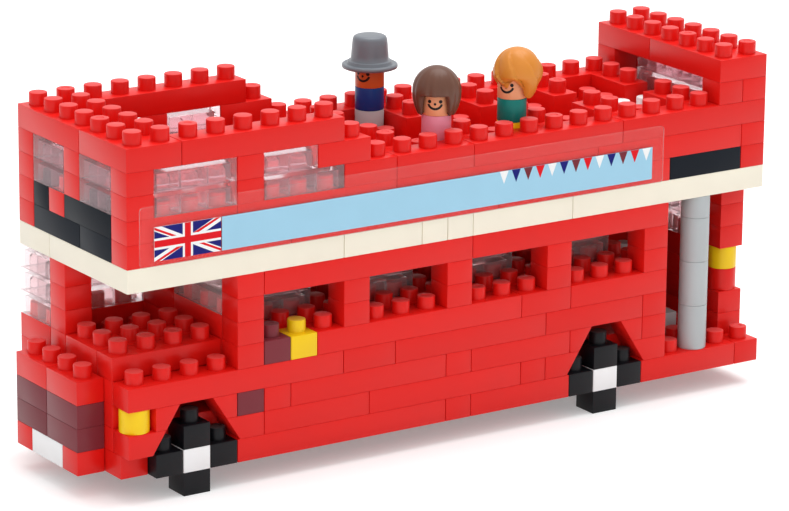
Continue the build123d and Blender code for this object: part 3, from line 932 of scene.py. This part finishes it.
class TOURBUS_OT_hair(BusOperator, bpy.types.Operator):
    """Shapes the bob and the swept hair, lock by lock"""
    bl_idname = "tourbus.hair"
    bl_label = "Hair"

    SHOULDER = 0.46          # height at which the dome begins, as a share of the hair's height
    BOTTOM = -0.80           # height at which the ball that the hair is shaped from is cut off
    THICKNESS = 0.55 * MM
    SEGMENTS, RINGS = 96, 48
    SMOOTH = 60              # degrees
    BOB_LOCKS = (0.045, 7.5, 1.8)         # depth of the grooves, their pace round the head, how fast they deepen
    BOB_TUCK = 0.22                       # how far its ends turn in
    SWEPT_LOCKS = (0.12, 51.4, 80, 2.2)   # depth, width and sweep of a lock in degrees, how fast they deepen
    SWEPT_TUCK, SWEPT_CURVE = 0.40, 1.5   # how far its ends turn in, and how suddenly
    # How far the hair's edge hangs below the shoulder, by degrees turned left from the face
    BOB_EDGE = ((-180, 1.0), (-44, 1.0), (-36, 0.10), (36, 0.10), (44, 1.0), (180, 1.0))
    SWEPT_EDGE = ((-180, 0.80), (-90, 0.62), (-16, 0.58), (-5, 0.26), (12, 0.20), (42, 0.48), (62, 0.92), (80, 1.0),
                  (120, 0.95), (180, 0.80))

    def execute(self, context):
        colours = context.scene.bus_colours
        self.shape("bob_rider", colours.brown_hair, self.bob)
        self.shape("swept_rider", colours.fair_hair, self.swept)
        return {"FINISHED"}

    @staticmethod
    def edge(table, turn):
        """Reads a table of the hair's edge between its rows."""
        for (start, low), (end, high) in zip(table, table[1:]):
            if turn <= end:
                return low + (high - low) * (turn - start) / (end - start)
        return table[-1][1]

    def bob(self, turn, down, hang):
        """Reach and hang of the bob: its ends turn in, and fine locks part its fringe."""
        depth, pace, deepen = self.BOB_LOCKS
        locks = depth * (abs(math.cos(math.radians(turn * pace))) - 1) * min(1.0, down * deepen)
        return 1.0 - self.BOB_TUCK * hang ** 2 + locks, self.edge(self.BOB_EDGE, turn)

    def swept(self, turn, down, hang):
        """The same for the hair that is combed across to one side in broad locks."""
        depth, width, sweep, deepen = self.SWEPT_LOCKS
        comb = (turn + sweep * (1 - down)) / width
        locks = depth * (comb - math.floor(comb) - 1) * min(1.0, down * deepen)
        return 1.0 - self.SWEPT_TUCK * hang ** self.SWEPT_CURVE + locks, self.edge(self.SWEPT_EDGE, turn)

    def shape(self, rider, ink, style):
        """Shapes one rider's hair from a ball: a dome on top, and below it an edge that hangs by its style."""
        node = rider + "_hair"
        low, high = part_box(node)
        middle = Vector(((low.x + high.x) / 2, (low.y + high.y) / 2, 0))
        radius, shoulder = (high.x - low.x) / 2, low.z + (high.z - low.z) * self.SHOULDER
        hair = begin(bpy.ops.mesh.primitive_uv_sphere_add, segments=self.SEGMENTS, ring_count=self.RINGS, radius=1)
        hair.name = hair.data.name = node + "_moulded"
        pick(hair, faces=lambda f: f.calc_center_median().z < self.BOTTOM)
        bpy.ops.mesh.delete(type="FACE")
        bpy.ops.object.mode_set(mode="OBJECT")
        side = math.pi / 2
        polars = [math.acos(max(-1.0, min(1.0, vertex.co.z))) for vertex in hair.data.vertices]
        lowest = max(polars)
        for vertex, polar in zip(hair.data.vertices, polars):
            turn = math.degrees(math.atan2(vertex.co.y, vertex.co.x))
            hang = max(0.0, polar - side) / (lowest - side)
            reach, drop = style(turn, polar / lowest, hang)
            across = math.sin(min(polar, side)) * reach * radius
            if polar < side:
                height = shoulder + (high.z - shoulder) * math.cos(polar)
            else:
                height = shoulder - (shoulder - low.z) * hang * drop
            facing = math.radians(turn + FACING[rider])
            vertex.co = middle + Vector((across * math.cos(facing), across * math.sin(facing), height))
        activate(hair)
        wall = hair.modifiers.new("wall", "SOLIDIFY")
        wall.thickness = self.THICKNESS
        wall.offset = -1
        bpy.ops.object.modifier_apply(modifier=wall.name)
        smooth(hair, self.SMOOTH)
        hand_over(hair, node, moulded_plastic(node + "_plastic", ink, tone=0, mottle=0.10, gloss=0.32))


class TOURBUS_OT_stage(BusOperator, bpy.types.Operator):
    """Adds the pale floor, the soft light and the camera at the photograph's angle"""
    bl_idname = "tourbus.stage"
    bl_label = "Stage"

    FLOOR = 6.0
    ABOVE = (-0.25, -0.10, 1.0)    # towards the key light
    FRONT = (0.50, 0.85, 0.36)     # towards the camera's side
    OVERHEAD_SPAN = (0.25, 0.85)   # how far a direction turns up between the sky's foot and its top
    FRONT_SPAN = (0.10, 0.95)      # the same towards the camera's side
    SENSOR, FAR = 36, 20           # millimetres and metres

    def execute(self, context):
        stage = context.scene.bus_stage
        deselect_all()
        bpy.ops.mesh.primitive_plane_add(size=self.FLOOR, location=(0, 0, 0))
        floor = context.active_object
        floor.name = floor.data.name = "floor"
        floor.data.materials.append(self.floor_material(context.scene.bus_colours.floor, stage.floor_glow))
        self.light(context, stage)
        self.camera(context, stage)
        return {"FINISHED"}

    @staticmethod
    def seen_directly(tree):
        """1 for a ray that shows the background itself, in the picture, a gloss or a clear brick."""
        path = tree.nodes.new("ShaderNodeLightPath")
        seen = combine(tree, "MAXIMUM", (path, "Is Camera Ray"), (path, "Is Glossy Ray"))
        return combine(tree, "MAXIMUM", (seen, "Value"), (path, "Is Transmission Ray"))

    def floor_material(self, base, added):
        """A matt pale floor that turns white where it is seen directly and keeps the shadow."""
        material, tree, shader = new_material("pale_floor")
        shader.inputs["Base Color"].default_value = (*base, 1)
        shader.inputs["Roughness"].default_value = 0.9
        shader.inputs["Specular IOR Level"].default_value = 0.1
        shader.inputs["Emission Color"].default_value = (1, 1, 1, 1)
        glow = tree.nodes.new("ShaderNodeMath")
        glow.operation = "MULTIPLY"
        glow.inputs[1].default_value = added
        wire(tree, self.seen_directly(tree), "Value", glow, 0)
        wire(tree, glow, "Value", shader, "Emission Strength")
        return material

    def light(self, context, stage):
        """A white sky, brighter overhead and on the camera's side, with two soft suns."""
        world = bpy.data.worlds.new("soft_white")
        context.scene.world = world
        world.use_nodes = True
        tree = world.node_tree
        background = tree.nodes["Background"]
        background.inputs["Color"].default_value = (1, 1, 1, 1)
        overhead = self.sky_part(tree, (0, 0, 1), self.OVERHEAD_SPAN, (stage.sky_foot, stage.sky_top))
        front = self.sky_part(tree, self.FRONT, self.FRONT_SPAN, (0, stage.sky_front))
        sky = combine(tree, "ADD", (overhead, "Result"), (front, "Result"))
        shown = tree.nodes.new("ShaderNodeMapRange")
        shown.inputs["To Max"].default_value = 1.0
        wire(tree, sky, "Value", shown, "To Min")
        wire(tree, self.seen_directly(tree), "Value", shown, "Value")
        wire(tree, shown, "Result", background, "Strength")
        self.soft_sun(context, "soft_key", stage.key, stage.softness, self.ABOVE)
        fill = self.soft_sun(context, "soft_fill", stage.fill, stage.softness, self.FRONT)
        fill.visible_glossy = False

    @staticmethod
    def sky_part(tree, towards, span, strengths):
        """Light that grows from one strength to another as a direction turns towards a part of the sky."""
        place = tree.nodes.new("ShaderNodeTexCoord")
        turned = tree.nodes.new("ShaderNodeVectorMath")
        turned.operation = "DOT_PRODUCT"
        turned.inputs[1].default_value = Vector(towards).normalized()
        wire(tree, place, "Generated", turned, 0)
        part = map_range(tree, span, strengths)
        wire(tree, turned, "Value", part, "Value")
        return part

    @staticmethod
    def soft_sun(context, name, energy, softness, towards):
        """A wide sun that shines from a direction."""
        deselect_all()
        bpy.ops.object.light_add(type="SUN", location=(0, 0, 0.5))
        sun = context.active_object
        sun.name = name
        sun.data.energy = energy
        sun.data.angle = softness
        sun.rotation_euler = Vector(towards).to_track_quat("Z", "Y").to_euler()
        return sun

    def camera(self, context, stage):
        """The camera, from the angles and the lens that were fitted to the photograph."""
        turn, rise, roll = stage.azimuth, stage.elevation, stage.roll
        ahead = Vector((-math.sin(turn) * math.cos(rise), -math.cos(turn) * math.cos(rise), -math.sin(rise)))
        level_right = Vector((-math.cos(turn), math.sin(turn), 0))
        level_up = level_right.cross(ahead)
        right = math.cos(roll) * level_right + math.sin(roll) * level_up
        up = math.cos(roll) * level_up - math.sin(roll) * level_right
        deselect_all()
        bpy.ops.object.camera_add(location=Vector(stage.target) - ahead * stage.distance)
        camera = context.active_object
        camera.name = "photo_camera"
        camera.rotation_euler = Matrix((right, up, -ahead)).transposed().to_euler()
        camera.data.lens = stage.lens
        camera.data.sensor_width = self.SENSOR
        camera.data.sensor_fit = "HORIZONTAL"
        camera.data.clip_end = self.FAR
        context.scene.camera = camera
        context.scene.view_settings.view_transform = "Standard"


OPERATORS = (
    TOURBUS_OT_red_body,
    TOURBUS_OT_coloured_bricks,
    TOURBUS_OT_clear_bricks,
    TOURBUS_OT_wheels,
    TOURBUS_OT_banner,
    TOURBUS_OT_rider_bricks,
    TOURBUS_OT_rider_faces,
    TOURBUS_OT_hat,
    TOURBUS_OT_hair,
    TOURBUS_OT_stage,
)


class TOURBUS_PT_sidebar(bpy.types.Panel):
    """Lists the bus's pieces in the order that they are made"""
    bl_label = "Tour Bus"
    bl_idname = "TOURBUS_PT_sidebar"
    bl_space_type = "VIEW_3D"
    bl_region_type = "UI"
    bl_category = "Tour Bus"

    def draw(self, context):
        for operator in OPERATORS:
            self.layout.operator(operator.bl_idname)


CLASSES = (BusBrickSizes, BusColours, BusStage, *OPERATORS, TOURBUS_PT_sidebar)


def register():
    """Adds the classes and their settings to Blender."""
    for cls in CLASSES:
        bpy.utils.register_class(cls)
    bpy.types.Scene.bus_bricks = PointerProperty(type=BusBrickSizes)
    bpy.types.Scene.bus_colours = PointerProperty(type=BusColours)
    bpy.types.Scene.bus_stage = PointerProperty(type=BusStage)


def unregister():
    del bpy.types.Scene.bus_stage
    del bpy.types.Scene.bus_colours
    del bpy.types.Scene.bus_bricks
    for cls in reversed(CLASSES):
        bpy.utils.unregister_class(cls)


def main():
    """Makes every piece and the stage."""
    register()
    bpy.ops.tourbus.red_body()
    bpy.ops.tourbus.coloured_bricks()
    bpy.ops.tourbus.clear_bricks()
    bpy.ops.tourbus.wheels()
    bpy.ops.tourbus.banner()
    bpy.ops.tourbus.rider_bricks()
    bpy.ops.tourbus.rider_faces()
    bpy.ops.tourbus.hat()
    bpy.ops.tourbus.hair()
    bpy.ops.tourbus.stage()


if __name__ == "__main__":
    main()
